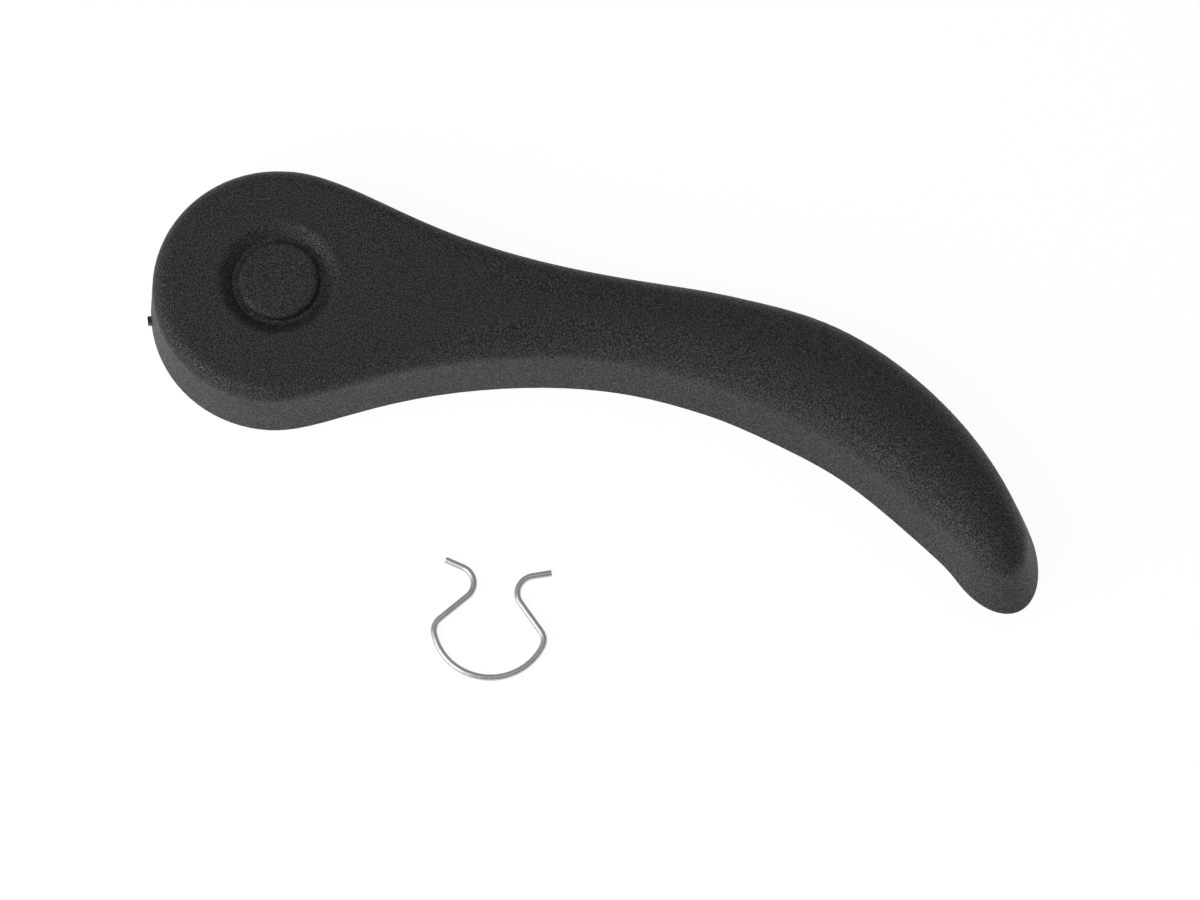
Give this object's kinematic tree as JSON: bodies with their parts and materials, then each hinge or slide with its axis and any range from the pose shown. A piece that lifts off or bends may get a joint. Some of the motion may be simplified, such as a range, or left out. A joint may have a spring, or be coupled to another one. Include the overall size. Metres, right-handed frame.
{
  "type": "car seat recliner lever",
  "caption": "Black moulded recliner lever with a round hub, a drooping tail and a toothed spindle socket behind, and its loose omega-shaped wire clip beside it.",
  "frame": {"origin": "on the spindle socket's axis, at the rim that the lever lies on", "axes": "+Z out of the front face, +X along the arm towards the tail, -Y the way the tail droops"},
  "size_m": [0.1687, 0.0985, 0.0156],
  "materials": {
    "lever_plastic": "fine moulded grain",
    "clip_wire": "drawn, bright zinc plated"
  },
  "bodies": {
    "root": {"lever": "lever_plastic", "retaining_clip": "clip_wire"}
  },
  "joints": []
}
